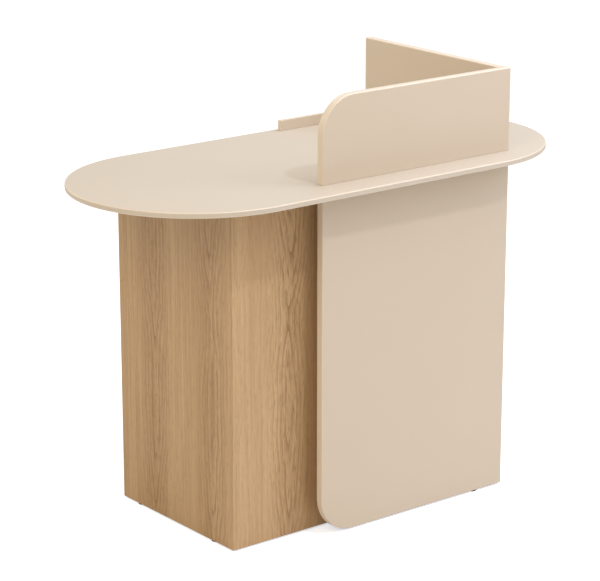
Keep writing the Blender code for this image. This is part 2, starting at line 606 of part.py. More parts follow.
# ---- cupboard door ----
def build_door(divider):
    axis = axis_empty("door_axis", HINGE_AXIS)
    door = block("door", (DOOR_LEFT, FACE_BACK, DOOR_LOW), (DOOR_RIGHT, REAR, DOOR_HIGH), OAK_VENEER, axis,
                 round_edges=None)
    pull = Vector((DOOR_RIGHT - PULL_FROM_EDGE, REAR, DOOR_HIGH - DOOR_PULL_DROP))
    build_pull("door_pull", door, pull, axis)
    lock = Vector((DOOR_RIGHT - DOOR_LOCK_INSET, REAR, DOOR_HIGH - DOOR_LOCK_DROP))
    build_lock("door_lock", door, lock, axis, (0, 1))
    slot_low = (DIVIDER_LEFT - OAK, FACE_BACK - LOCK_CLEAR - LOCK_CAM_THICK - REVEAL,
                lock.z - LOCK_CAM_WIDTH / 2 - REVEAL)
    slot_high = (lock.x + LOCK_CAM_REACH + REVEAL, FACE_BACK, lock.z + LOCK_CAM_REACH)
    cut(divider, block("strike_slot", slot_low, slot_high, None))

    for name, z in (("upper", DOOR_HIGH - HINGE_FROM_END), ("lower", DOOR_LOW + HINGE_FROM_END)):
        build_hinge(name, z, axis)

    catch_right = DOOR_RIGHT - CATCH_FROM_EDGE
    catch_left = catch_right - CATCH_LENGTH
    catch_high = DECK_BOTTOM - FIT
    catch_low = catch_high - CATCH_HEIGHT
    plate_back = FACE_BACK - FIT - CATCH_PLATE
    block("door_catch_plate", (catch_left, plate_back, catch_low),
          (catch_right, FACE_BACK - FIT, DOOR_HIGH - REVEAL), ZINC, axis, round_edges=None)
    block("door_catch", (catch_left, plate_back - FIT - CATCH_DEPTH, catch_low),
          (catch_right, plate_back - FIT, catch_high), CREAM_PLASTIC)


def build_hinge(name, z, axis):
    """A butt hinge across the joint of side and door: two fixed knuckles, one on the door's leaf, a pin."""
    knuckle = HINGE_HEIGHT / 3 - HINGE_GAP
    pitch = HINGE_HEIGHT / 3
    centre = Vector((HINGE_AXIS.x, HINGE_AXIS.y, z))
    leaf_y = (REAR + FIT, REAR + FIT + HINGE_LEAF)
    half = HINGE_HEIGHT / 2

    fixed = block(f"{name}_hinge_fixed_leaf", (centre.x - HINGE_FIXED_WIDTH, leaf_y[0], z - half),
                  (centre.x, leaf_y[1], z + half), ZINC, round_edges=None)
    swung = block(f"{name}_hinge_door_leaf", (centre.x, leaf_y[0], z - half),
                  (centre.x + HINGE_DOOR_WIDTH, leaf_y[1], z + half), ZINC, axis, round_edges=None)
    room = HINGE_KNUCKLE_RADIUS + HINGE_GAP
    for leaf, ride, own, other in ((fixed, None, (-1, 1), (0,)), (swung, axis, (0,), (-1, 1))):
        for step in other:
            spot = centre + Vector((0.0, 0.0, step * pitch))
            cut(leaf, rod(f"{leaf.name}_space_{step}", spot, room, knuckle + 2 * HINGE_GAP, Matrix(), ride))
        for step in own:
            spot = centre + Vector((0.0, 0.0, step * pitch))
            label = f"{leaf.name}_knuckle_{step}"
            round_knuckle = rod(label, spot, HINGE_KNUCKLE_RADIUS, knuckle, Matrix(), ride)
            join(leaf, round_knuckle)
        cut(leaf, rod(f"{leaf.name}_bore", centre, HINGE_BORE_RADIUS, 2 * HINGE_HEIGHT, Matrix(), ride))
    top = half + HINGE_PIN_HEAD
    head = HINGE_KNUCKLE_RADIUS - EASE
    profile = [(0.0, top), (head - EASE / 2, top), (head, top - EASE / 2), (head, half + FIT),
               (HINGE_PIN_RADIUS, half + FIT), (HINGE_PIN_RADIUS, -half), (0.0, -half)]
    turned(f"{name}_hinge_pin", profile, Matrix.Translation(centre), ZINC, steps=TURN_STEPS // 2)


clear_scene()
PARTS = new_collection("checkout_counter")
CUTTERS = new_collection("cutters")
build_top()
right_gable = build_shell()
centre_divider = build_carcass(right_gable)
build_glides()
build_drawer()
build_door(centre_divider)
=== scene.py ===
"""Checkout counter: the looks.

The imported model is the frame. Finer pieces and finishes go onto it, in its own place. Metres, +Z up,
the customer at -Y and the operator at +Y.
"""

import math

import bmesh
import bpy
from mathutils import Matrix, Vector


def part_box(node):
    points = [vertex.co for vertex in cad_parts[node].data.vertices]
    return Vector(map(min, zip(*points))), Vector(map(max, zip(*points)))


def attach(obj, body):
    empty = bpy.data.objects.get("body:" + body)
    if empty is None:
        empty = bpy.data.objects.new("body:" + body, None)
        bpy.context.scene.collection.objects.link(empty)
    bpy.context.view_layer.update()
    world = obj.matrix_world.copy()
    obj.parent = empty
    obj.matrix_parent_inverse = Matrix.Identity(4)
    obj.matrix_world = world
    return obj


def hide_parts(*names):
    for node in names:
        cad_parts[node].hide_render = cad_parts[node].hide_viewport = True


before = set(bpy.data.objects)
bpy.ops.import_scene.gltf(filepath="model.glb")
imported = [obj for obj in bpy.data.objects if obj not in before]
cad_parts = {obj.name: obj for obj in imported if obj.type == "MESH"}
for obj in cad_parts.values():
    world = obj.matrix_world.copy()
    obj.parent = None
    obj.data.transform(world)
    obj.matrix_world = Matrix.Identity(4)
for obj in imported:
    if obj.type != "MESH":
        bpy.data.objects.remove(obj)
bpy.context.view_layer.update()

# sizes of the finer pieces, in metres
CORNER_RADIUS = 0.085       # rounded corner of the panel and of the screen
LACQUER_ARRIS = 0.0028      # rounding on the lacquered boards
WORKTOP_ARRIS = 0.0022
UPSTAND_ARRIS = 0.0012
OAK_ARRIS = 0.0009          # rounding on the veneered boards
FINE_ARRIS = 0.0004         # rounding on turned metal and moulded plastic
VENEER_LEAF = 0.215         # width of one sheet of veneer
POCKET_GAP = 0.0003         # board to the cup or barrel let into it
OUTLET_RADIUS = 0.030       # hole in the worktop for the cable outlet
PIN_HOLE_RADIUS = 0.0028
PIN_HOLE_DEPTH = 0.0086
PIN_HOLE_PITCH = 0.032
PULL_LIP = 0.004            # flange beyond the cup
PULL_WALL = 0.0015
PULL_UNDERCUT = 0.002       # mouth narrower than the inside
LOCK_LIP = 0.003            # flange beyond the barrel
LOCK_WALL = 0.0025
LOCK_RUN = 0.0003           # plug to its bore
KEYWAY = (0.0016, 0.0070, 0.0040)   # width, height, depth
STRIKE_GAP = 0.002          # room round the cam in its slot
SCREW_RADIUS = 0.0038
SCREW_SPREAD = 0.015        # screws above and below the middle of a hinge
SCREW_INSET = 0.0075        # screw's centre from the outer edge of a hinge leaf
RECESS = (0.0042, 0.0009, 0.0014)   # one arm of the cross: length, width, depth
LEAF = 0.0018               # face of a hinge leaf above the door's face
CAP_DISH = 0.0007
CAP_BORDER = 0.006          # flat rim round the dish
NOTCH = (0.008, 0.013)      # cap's notch: half its width, and its depth
NOTCH_ROUND = 0.004
PIN_LIP = 0.0015            # head of a shelf pin beyond its stem
PIN_HEAD = 0.009            # length of that head
PAST_OPEN_SIDE = 1.0        # a cutter runs this far past a side that is open
FLOOR_SPAN = 60.0

# counts, angles and tolerances
PIN_HOLES_BELOW = 3         # holes under the one that carries the shelf
PIN_HOLES_ABOVE = 3
WORKTOP_SIDES = 288
CORNER_STEPS = 32
SMOOTH_BELOW = 35.0         # degrees between faces that shade as one
FACE_ON = 0.95              # a face's normal this far along an axis counts as facing it
NEAR = 1e-5                 # metres between two places that count as one

# colours as linear red, green and blue
CREAM = (0.606, 0.505, 0.398)
CREAM_RUBBED = (0.690, 0.590, 0.480)
# lighter cream for the boards' edge faces and rounded arrises: partly rubbed wear, partly a painted
# highlight where the edges catch the light
CREAM_EDGE_WEAR_AND_HIGHLIGHT = (0.695, 0.592, 0.476)
# a darker, bluer copy of the cream for the worktop: painted shade on its top face, which the lamps
# light more than the upright boards
CREAM_TOP_PAINTED_SHADE = (0.572, 0.497, 0.412)
OAK_LIGHT = (0.600, 0.405, 0.225)
OAK_MID = (0.500, 0.318, 0.162)
OAK_DARK = (0.270, 0.140, 0.056)
OAK_PORE = (0.170, 0.084, 0.036)
WHITE_BOARD = (0.700, 0.690, 0.660)
WHITE_BOARD_SPECK = (0.600, 0.590, 0.560)
ZINC_LIGHT = (0.560, 0.570, 0.580)
ZINC_DARK = (0.430, 0.440, 0.460)
NICKEL_LIGHT = (0.600, 0.570, 0.520)
NICKEL_DARK = (0.430, 0.405, 0.370)
NYLON = (0.060, 0.060, 0.063)
NYLON_WORN = (0.105, 0.105, 0.108)
PLASTIC = (0.560, 0.465, 0.362)
PLASTIC_WORN = (0.640, 0.545, 0.435)
FLOOR_PALE = (0.860, 0.860, 0.860)
GLOW_COLOUR = (0.86, 0.92, 1.0, 1.0)
FLOOR_GLOW = 0.62           # lifts the floor to white, as an overexposed studio floor is

# rings of the oak, across one sheet of veneer
RINGS_PER_METRE = 84.0
RING_LEAN = -5.0            # draws the rings out along the grain into arches
RING_CLIMB = 9.0            # how unevenly they climb
RING_WOBBLE = 1.9
FLAME_WANDER = 0.05         # how far the middle of the flame strays to either side

# light: name, way from the counter, distance, size, watts, colour
LIGHT_AIM = (0.0, 0.0, 0.55)
LAMPS = [
    ("key", (0.01, -0.74, 1.00), 3.6, 0.22, 26.5, (0.84, 0.88, 1.00)),
    ("right_fill", (0.62, -0.60, 0.50), 3.6, 2.0, 39.0, (0.81, 0.86, 1.00)),
    ("left_fill", (-0.78, -0.34, 0.66), 3.6, 2.0, 38.0, (1.00, 0.88, 0.72)),
    ("rear_fill", (-0.40, 0.92, 0.30), 3.8, 2.0, 24.0, (1.00, 0.93, 0.82)),
    ("top_fill", (0.40, -0.08, 0.90), 2.3, 2.2, 36.0, (0.78, 0.85, 1.00)),
]
BOUNCED_LIGHT = (0.575, 0.535, 0.450)

CAMERA_PLACE = (-3.2272, -4.0288, 2.0246)
CAMERA_AIM = (0.00869, 0.05953, 0.47966)
SENSOR_MM = 36.0
LENS_MM = 143.6


# ---- finishes ----
class Finish:
    """A material while it is made: its shader, its place on the piece, and short ways to add nodes."""

    def __init__(self, name):
        self.material = bpy.data.materials.new(name)
        self.material.use_nodes = True
        self.tree = self.material.node_tree
        self.shader = self.tree.nodes["Principled BSDF"]
        self.place = self.add("ShaderNodeTexCoord").outputs["Object"]

    def add(self, kind, wires=(), **settings):
        made = self.tree.nodes.new(kind)
        for name, value in settings.items():
            setattr(made, name, value)
        for socket, value in dict(wires).items():
            if isinstance(value, bpy.types.NodeSocket):
                self.tree.links.new(value, made.inputs[socket])
            else:
                made.inputs[socket].default_value = value
        return made

    def reckon(self, operation, *values):
        return self.add("ShaderNodeMath", dict(enumerate(values)), operation=operation).outputs[0]

    def stretch(self, scale, shift=(0.0, 0.0, 0.0)):
        wires = {"Vector": self.place, "Scale": scale, "Location": shift}
        return self.add("ShaderNodeMapping", wires).outputs["Vector"]

    def noise(self, where, detail, rough=0.5):
        """Soft blotches about one unit wide, in a place that is already stretched."""
        wires = {"Vector": where, "Scale": 1.0, "Detail": detail, "Roughness": rough}
        return self.add("ShaderNodeTexNoise", wires).outputs["Fac"]

    def spread(self, value, low, high, start=0.0, end=1.0):
        """Maps value from low...high onto start...end, and stops there."""
        wires = {0: value, 1: low, 2: high, 3: start, 4: end}
        return self.add("ShaderNodeMapRange", wires).outputs[0]

    def tint(self, amount, under, over):
        """One colour over another by this amount."""
        made = self.add("ShaderNodeMix", data_type="RGBA")
        for socket, value in ((0, amount), (6, under), (7, over)):
            if isinstance(value, bpy.types.NodeSocket):
                self.tree.links.new(value, made.inputs[socket])
            else:
                made.inputs[socket].default_value = value if socket == 0 else (*value, 1.0)
        return made.outputs[2]

    def relief(self, height, depth):
        return self.add("ShaderNodeBump", {"Height": height, "Distance": depth}).outputs["Normal"]

    def finish(self, colour, roughness, normal=None, metallic=0.0):
        """Gives the shader its values and wires, and hands back the finished material."""
        for socket, value in (("Base Color", colour), ("Roughness", roughness), ("Normal", normal)):
            if isinstance(value, bpy.types.NodeSocket):
                self.tree.links.new(value, self.shader.inputs[socket])
            elif value is not None:
                self.shader.inputs[socket].default_value = value
        self.shader.inputs["Metallic"].default_value = metallic
        return self.material


def lacquer(name, colour, rubbed, gloss):
    """Sprayed lacquer: faint cloudiness, fine orange peel, and handled patches a little smoother."""
    made = Finish(name)
    cloud = made.noise(made.stretch((3.0, 3.0, 3.0)), 3.0)
    speck = made.noise(made.stretch((900.0, 900.0, 900.0)), 1.0)
    peel = made.noise(made.stretch((260.0, 260.0, 260.0)), 2.0)
    handled = made.noise(made.stretch((11.0, 11.0, 11.0), (2.0, 5.0, 1.0)), 4.0, 0.6)
    colour = made.tint(made.spread(cloud, 0.35, 0.65, 0.0, 0.10), colour, rubbed)
    colour = made.tint(made.spread(speck, 0.62, 0.72, 0.0, 0.05), colour, rubbed)
    roughness = made.spread(handled, 0.35, 0.68, gloss - 0.02, gloss + 0.03)
    return made.finish(colour, roughness, made.relief(peel, 0.00006))


def oak(name, along, across, leaf_shift, pale=1.0):
    """Oak veneer, sheet beside sheet, each with its own flame of arched rings, streaks and pores."""
    made = Finish(name)
    light, mid, dark, pore = [tuple(pale * part for part in colour)
                              for colour in (OAK_LIGHT, OAK_MID, OAK_DARK, OAK_PORE)]
    split = made.add("ShaderNodeSeparateXYZ", {0: made.place}).outputs
    axes = {"X": split[0], "Y": split[1], "Z": split[2]}
    depth = axes[({"X", "Y", "Z"} - {along, across}).pop()]
    run = axes[along]
    shifted = made.reckon("ADD", axes[across], leaf_shift)
    leaf = made.reckon("FLOOR", made.reckon("DIVIDE", shifted, VENEER_LEAF))
    own = made.reckon("MULTIPLY", leaf, 0.613)
    middle = made.reckon("MULTIPLY", made.reckon("ADD", leaf, 0.5), VENEER_LEAF)
    off = made.reckon("SUBTRACT", shifted, middle)
    run = made.reckon("ADD", run, own)

    def at(width, thick, length, seed=0.0):
        """Place in the sheet, stretched across it, through it and along the grain."""
        wires = {0: made.reckon("MULTIPLY", shifted, width), 1: made.reckon("MULTIPLY", depth, thick),
                 2: made.reckon("MULTIPLY_ADD", run, length, seed)}
        return made.add("ShaderNodeCombineXYZ", wires).outputs[0]

    stray = made.reckon("SUBTRACT", made.noise(at(0.0, 0.0, 2.2), 2.0), 0.5)
    off = made.reckon("ADD", off, made.reckon("MULTIPLY", stray, FLAME_WANDER))
    arch = made.reckon("SQRT", made.reckon("ADD", made.reckon("MULTIPLY", off, off), 0.00002))
    climb = made.reckon("MULTIPLY", made.noise(at(0.0, 0.0, 2.7, 7.0), 1.0), RING_CLIMB)
    wobble = made.reckon("MULTIPLY", made.noise(at(26.0, 26.0, 5.0, 4.0), 3.0, 0.5), RING_WOBBLE)
    ring = made.reckon("ADD", made.reckon("MULTIPLY", arch, RINGS_PER_METRE),
                    made.reckon("MULTIPLY", run, RING_LEAN))
    ring = made.reckon("ADD", made.reckon("ADD", ring, wobble), climb)
    early = made.reckon("POWER", made.reckon("SUBTRACT", 1.0, made.reckon("FRACT", ring)), 3.0)

    streak = made.noise(at(190.0, 190.0, 3.0), 4.0, 0.62)
    fibre = made.noise(at(900.0, 900.0, 26.0), 2.0, 0.6)
    broad = made.noise(at(13.0, 13.0, 0.7, 9.0), 2.0)
    pores = made.spread(made.noise(at(620.0, 620.0, 34.0, 2.0), 1.5), 0.56, 0.70)
    flame = made.spread(made.reckon("ABSOLUTE", off), 0.016, 0.062, 1.0, 0.12)
    broken = made.spread(made.noise(at(90.0, 90.0, 14.0, 6.0), 2.0, 0.55), 0.30, 0.52)
    dashes = made.spread(made.noise(at(430.0, 430.0, 42.0, 3.0), 2.0, 0.55), 0.56, 0.66)

    colour = made.tint(made.spread(broad, 0.34, 0.66), light, mid)
    colour = made.tint(made.spread(streak, 0.40, 0.70, 0.0, 0.34), colour, dark)
    lines = made.reckon("MULTIPLY", made.reckon("MULTIPLY", early, flame), broken)
    colour = made.tint(lines, colour, dark)
    flecks = made.reckon("MULTIPLY", dashes, made.reckon("ADD", flame, 0.25))
    colour = made.tint(made.reckon("MULTIPLY", flecks, 0.60), colour, dark)
    open_grain = made.reckon("MULTIPLY", pores, made.reckon("MULTIPLY_ADD", early, 0.30, 0.12))
    colour = made.tint(open_grain, colour, pore)
    colour = made.tint(made.spread(fibre, 0.30, 0.70, 0.0, 0.08), colour, pore)
    sheet = made.add("ShaderNodeTexWhiteNoise", {"W": leaf}, noise_dimensions="1D")
    colour = made.tint(made.spread(sheet.outputs["Value"], 0.0, 1.0, 0.0, 0.2), colour, mid)

    height = made.reckon("SUBTRACT", made.reckon("MULTIPLY", fibre, 0.35), open_grain)
    roughness = made.spread(streak, 0.30, 0.72, 0.44, 0.60)
    return made.finish(colour, roughness, made.relief(height, 0.00012))


def white_board(name):
    """White faced board: a pearled surface with scuffs that run front to back."""
    made = Finish(name)
    pearl = made.noise(made.stretch((700.0, 700.0, 700.0)), 2.0)
    scuff = made.noise(made.stretch((14.0, 55.0, 55.0)), 4.0, 0.6)
    colour = made.tint(made.spread(scuff, 0.50, 0.72, 0.0, 0.35), WHITE_BOARD, WHITE_BOARD_SPECK)
    return made.finish(colour, made.spread(scuff, 0.3, 0.7, 0.42, 0.56), made.relief(pearl, 0.00005))


def metal(name, light, dark, brushed, gloss):
    """Plated metal: fine lines along the way it was polished, and a mottled, slightly dulled film."""
    made = Finish(name)
    lines = made.noise(made.stretch(brushed), 3.0, 0.6)
    film = made.noise(made.stretch((60.0, 60.0, 60.0)), 4.0, 0.6)
    colour = made.tint(made.spread(film, 0.38, 0.66, 0.0, 0.45), light, dark)
    colour = made.tint(made.spread(lines, 0.40, 0.70, 0.0, 0.35), colour, dark)
    roughness = made.spread(lines, 0.30, 0.70, gloss - 0.07, gloss + 0.12)
    return made.finish(colour, roughness, made.relief(lines, 0.00003), 1.0)


def moulded(name, colour, worn, gloss):
    """Moulded plastic with a fine spark-eroded grain, rubbed paler in places."""
    made = Finish(name)
    grain = made.noise(made.stretch((1500.0, 1500.0, 1500.0)), 2.0)
    rub = made.noise(made.stretch((45.0, 45.0, 45.0)), 4.0, 0.6)
    colour = made.tint(made.spread(rub, 0.48, 0.72, 0.0, 0.6), colour, worn)
    return made.finish(colour, made.spread(rub, 0.3, 0.7, gloss + 0.06, gloss - 0.06),
                       made.relief(grain, 0.00004))


cream = lacquer("cream_lacquer", CREAM, CREAM_RUBBED, 0.40)
# worktop finish: the same cream darkened and cooled, painted shade for the strongly lit top face
cream_top_painted_shade = lacquer("cream_worktop_painted_shade", CREAM_TOP_PAINTED_SHADE, CREAM, 0.34)
# edge finish: lighter cream on edge faces and arrises, partly wear and partly a painted highlight
cream_edge_wear_and_highlight = lacquer("cream_edge_wear_and_painted_highlight", CREAM_EDGE_WEAR_AND_HIGHLIGHT, CREAM, 0.30)
# the left side is oak painted 6 % darker and the front board 6 % lighter than the doors' oak: painted
# shade on the side and painted light on the front, set for how the lamps fall on each face
oak_side_painted_shade = oak("oak_side_painted_shade", "Z", "Y", 0.190, 0.94)
oak_front_painted_light = oak("oak_front_painted_light", "Z", "X", 0.300, 1.06)
oak_doors = oak("oak_doors", "Z", "X", 0.060)
oak_wall = oak("oak_inner_wall", "Z", "Y", 0.050)
oak_shelf = oak("oak_shelves", "X", "Y", 0.100)
oak_rail = oak("oak_rails", "X", "Z", 0.140)
drawer_white = white_board("white_drawer_board")
# paler oak, 10 % lighter, on the rounded arrises of the oak boards
oak_arris = oak("oak_paler_arris", "X", "Z", 0.140, 1.10)
zinc_bright = metal("bright_zinc", NICKEL_LIGHT, ZINC_LIGHT, (60.0, 60.0, 60.0), 0.28)
zinc = metal("zinc_plated_steel", ZINC_LIGHT, ZINC_DARK, (90.0, 40.0, 160.0), 0.36)
nickel = metal("satin_nickel", NICKEL_LIGHT, NICKEL_DARK, (1400.0, 30.0, 60.0), 0.30)
nylon = moulded("grey_nylon", NYLON, NYLON_WORN, 0.52)
plastic = moulded("cream_plastic", PLASTIC, PLASTIC_WORN, 0.42)

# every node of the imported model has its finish, also where a finer piece stands for it
NODE_FINISH = {
    oak_side_painted_shade: ["left_side"],
    oak_front_painted_light: ["front_board", "panel_spacer_left", "panel_spacer_right"],
    oak_doors: ["drawer_front", "door"],
    oak_wall: ["divider"],
    oak_shelf: ["bottom_board", "drawer_deck", "niche_shelf", "open_shelf"],
    oak_rail: ["top_rail_rear", "top_rail_front", "plinth"],
    drawer_white: ["drawer_side_left", "drawer_side_right", "drawer_back", "drawer_bottom"],
    zinc: ["runner_outer_left", "runner_outer_right", "runner_middle_left", "runner_middle_right",
           "runner_inner_left", "runner_inner_right", "upper_hinge_fixed_leaf", "upper_hinge_door_leaf",
           "upper_hinge_pin", "lower_hinge_fixed_leaf", "lower_hinge_door_leaf", "lower_hinge_pin",
           "door_catch_plate", "drawer_lock_cam", "door_lock_cam", "shelf_pin_1", "shelf_pin_2",
           "shelf_pin_3", "shelf_pin_4"],
    nickel: ["drawer_pull", "door_pull", "drawer_lock_housing", "drawer_lock_plug", "door_lock_housing",
             "door_lock_plug"],
    nylon: ["glide_1", "glide_2", "glide_3", "glide_4", "glide_5", "glide_6", "door_catch"],
    plastic: ["grommet_ring", "grommet_cap"],
    cream: ["worktop", "screen_front", "screen_return", "rear_upstand", "front_panel", "right_gable"],
}
for finish, names in NODE_FINISH.items():
    for name in names:
        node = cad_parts[name]
        node.data.materials.clear()
        node.data.materials.append(finish)


# ---- ways of working ----
def deselect():
    """Leaves edit mode and selects nothing, so that the next operator acts on its own piece only."""
    if bpy.context.mode != "OBJECT":
        bpy.ops.object.mode_set(mode="OBJECT")
    bpy.ops.object.select_all(action="DESELECT")


def name_piece(name):
    """Names the new mesh, puts its place into it, and gives it a slot for faces and one for edges."""
    piece = bpy.context.object
    piece.name = name
    piece.data.name = name
    bpy.ops.object.transform_apply(location=True, rotation=True, scale=True)
    while len(piece.data.materials) < 2:
        piece.data.materials.append(None)
    return piece


def board(name, low, high):
    """A squared board between two corners."""
    deselect()
    low, high = Vector(low), Vector(high)
    bpy.ops.mesh.primitive_cube_add(size=1.0, location=(low + high) / 2, scale=high - low)
    return name_piece(name)


def pick_edges(piece, wanted):
    """Opens the piece and selects the edges whose two ends pass the test."""
    bpy.context.view_layer.objects.active = piece
    bpy.ops.object.mode_set(mode="EDIT")
    bpy.ops.mesh.select_mode(type="EDGE")
    bpy.ops.mesh.select_all(action="DESELECT")
    mesh = bmesh.from_edit_mesh(piece.data)
    for edge in mesh.edges:
        edge.select_set(bool(wanted(edge.verts[0].co, edge.verts[1].co)))
    bmesh.update_edit_mesh(piece.data)


def round_edges(piece, wanted, radius, steps, material=-1):
    """Rounds the edges that pass the test, in the finish of this slot, or that of their own faces."""
    pick_edges(piece, wanted)
    bpy.ops.mesh.bevel(offset=radius, offset_type="OFFSET", segments=steps, profile=0.5,
                       material=material, clamp_overlap=False)
    bpy.ops.object.mode_set(mode="OBJECT")


def apply_modifier(piece, kind, **settings):
    bpy.context.view_layer.objects.active = piece
    made = piece.modifiers.new("step", kind)
    for name, value in settings.items():
        setattr(made, name, value)
    bpy.ops.object.modifier_apply(modifier=made.name)


def cut_away(piece, tool):
    """Takes the tool's shape out of the piece, and clears the tool away."""
    apply_modifier(piece, "BOOLEAN", operation="DIFFERENCE", solver="EXACT", object=tool)
    bpy.data.objects.remove(tool)


def band_edges(piece, axis):
    """Gives the second finish to every face that doesn't look along this axis: the board's edges."""
    for face in piece.data.polygons:
        if abs(face.normal[axis]) < FACE_ON:
            face.material_index = 1


def hand_over(piece, body, finish, nodes=(), edges=None):
    """Smooths the rounded parts, gives the finish, and ties the piece to its body and nodes."""
    deselect()
    piece.select_set(True)
    bpy.context.view_layer.objects.active = piece
    piece.data.materials[0] = finish
    if edges:
        piece.data.materials[1] = edges
    else:
        piece.data.materials.pop(index=1)
    bpy.ops.object.shade_smooth_by_angle(angle=math.radians(SMOOTH_BELOW))
    apply_modifier(piece, "WEIGHTED_NORMAL", keep_sharp=True, weight=80)
    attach(piece, body)
    if nodes:
        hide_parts(*nodes)
    return piece


def round_corner(centre, radius, start, end, steps=4):
    """Points of an arc in a turned profile, in degrees from the radius towards the height."""
    turns = [math.radians(start + (end - start) * step / steps) for step in range(steps + 1)]
    across, up = centre
    return [(across + radius * math.cos(turn), up + radius * math.sin(turn)) for turn in turns]


def turned(name, profile, centre, axis, steps=96):
    """A profile of (radius, height) points drawn one after the other, then spun about the axis."""
    deselect()
    centre, axis = Vector(centre), Vector(axis)
    across = axis.orthogonal().normalized()
    spots = [centre + radius * across + height * axis for radius, height in profile]
    bpy.ops.mesh.primitive_plane_add(size=FINE_ARRIS, location=spots[0])
    piece = name_piece(name)
    bpy.ops.object.mode_set(mode="EDIT")
    bpy.ops.mesh.select_mode(type="VERT")
    bpy.ops.mesh.select_all(action="SELECT")
    bpy.ops.mesh.merge(type="CENTER")
    for start, end in zip(spots, spots[1:]):
        bpy.ops.mesh.extrude_vertices_move(TRANSFORM_OT_translate={"value": end - start})
    bpy.ops.mesh.select_all(action="SELECT")
    bpy.ops.mesh.spin(steps=steps, angle=math.tau, center=centre, axis=axis)
    bpy.ops.mesh.select_all(action="SELECT")
    bpy.ops.mesh.remove_doubles(threshold=1e-6)
    bpy.ops.mesh.normals_make_consistent(inside=False)
    bpy.ops.object.mode_set(mode="OBJECT")
    return piece


def cylinder_cutter(centre, radius, depth, axis, sides=96):
    """A round cutter, its middle here and its length along the axis."""
    deselect()
    turn = Vector(axis).to_track_quat("Z", "Y").to_euler()
    bpy.ops.mesh.primitive_cylinder_add(vertices=sides, radius=radius, depth=depth, location=centre,
                                        rotation=turn)
    return name_piece("cutter")


def copy_to(piece, name, shift):
    """A copy with a mesh of its own, this far from the piece."""
    deselect()
    piece.select_set(True)
    bpy.context.view_layer.objects.active = piece
    bpy.ops.object.duplicate()
    bpy.ops.transform.translate(value=shift)
    return name_piece(name)


def same(a, b):
    return abs(a - b) < NEAR


def middle_of(node):
    low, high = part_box(node)
    return (low + high) / 2


# ---- lacquered boards ----
def make_worktop():
    """A disc drawn out into a slab with round ends, with the hole for the cable outlet."""
    low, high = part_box("worktop")
    radius = (high.y - low.y) / 2
    shift = (high.x - low.x) / 2 - radius
    middle = (low + high) / 2
    deselect()
    bpy.ops.mesh.primitive_cylinder_add(vertices=WORKTOP_SIDES, radius=radius,
                                        depth=high.z - low.z, location=middle)
    piece = name_piece("worktop_board")
    for side in (-1, 1):
        bpy.ops.object.mode_set(mode="EDIT")
        bpy.ops.mesh.select_mode(type="VERT")
        bpy.ops.mesh.select_all(action="DESELECT")
        mesh = bmesh.from_edit_mesh(piece.data)
        for point in mesh.verts:
            point.select_set(side * (point.co.x - middle.x) > NEAR)
        bmesh.update_edit_mesh(piece.data)
        bpy.ops.transform.translate(value=(side * shift, 0.0, 0.0))
        bpy.ops.object.mode_set(mode="OBJECT")
    round_edges(piece, lambda a, b: same(a.z, b.z), WORKTOP_ARRIS, 4, 1)

    through = 5 * (high.z - low.z)
    cut_away(piece, cylinder_cutter(middle_of("grommet_ring"), OUTLET_RADIUS, through, (0, 0, 1)))
    return hand_over(piece, "cabinet", cream_top_painted_shade, ["worktop"], cream_edge_wear_and_highlight)


def make_panel():
    """The cream front panel, with its rounded lower left corner."""
    low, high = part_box("front_panel")
    piece = board("front_panel_board", low, high)
    round_edges(piece, lambda a, b: same(a.x, low.x) and same(b.x, low.x) and same(a.z, low.z)
                and same(b.z, low.z), CORNER_RADIUS, CORNER_STEPS)
    round_edges(piece, lambda a, b: same(a.y, b.y), LACQUER_ARRIS, 4)
    band_edges(piece, 1)
    return hand_over(piece, "cabinet", cream, ["front_panel"], cream_edge_wear_and_highlight)


def make_screen():
    """The screen's front board, with its rounded upper left corner."""
    low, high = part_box("screen_front")
    piece = board("screen_board", low, high)
    round_edges(piece, lambda a, b: same(a.x, low.x) and same(b.x, low.x) and same(a.z, high.z)
                and same(b.z, high.z), CORNER_RADIUS, CORNER_STEPS)
    round_edges(piece, lambda a, b: same(a.y, b.y)
                and not (same(a.z, low.z) and same(b.z, low.z)), LACQUER_ARRIS, 4)
    band_edges(piece, 1)
    return hand_over(piece, "cabinet", cream, ["screen_front"], cream_edge_wear_and_highlight)


def make_return():
    """The screen's return: square where it meets the front board and the worktop."""
    low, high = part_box("screen_return")
    piece = board("screen_return_board", low, high)
    round_edges(piece, lambda a, b: not same(a.y + b.y, 2 * low.y)
                and not same(a.z + b.z, 2 * low.z), LACQUER_ARRIS, 4)
    band_edges(piece, 0)
    return hand_over(piece, "cabinet", cream, ["screen_return"], cream_edge_wear_and_highlight)


def make_upstand():
    """The low strip along the worktop's rear edge, square underneath."""
    low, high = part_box("rear_upstand")
    piece = board("rear_upstand_strip", low, high)
    round_edges(piece, lambda a, b: a.z > low.z + 1e-4 or b.z > low.z + 1e-4, UPSTAND_ARRIS, 3)
    band_edges(piece, 1)
    return hand_over(piece, "cabinet", cream, ["rear_upstand"], cream_edge_wear_and_highlight)


def drill_pin_rows(piece, pins, face_x):
    """Rows of holes for the adjustable shelf, above and below the ones that carry it."""
    for pin in pins:
        spot = middle_of(pin)
        for level in range(-PIN_HOLES_BELOW, PIN_HOLES_ABOVE + 1):
            mouth = (face_x, spot.y, spot.z + level * PIN_HOLE_PITCH)
            drill = cylinder_cutter(mouth, PIN_HOLE_RADIUS, 2 * PIN_HOLE_DEPTH, (1, 0, 0), 24)
            cut_away(piece, drill)


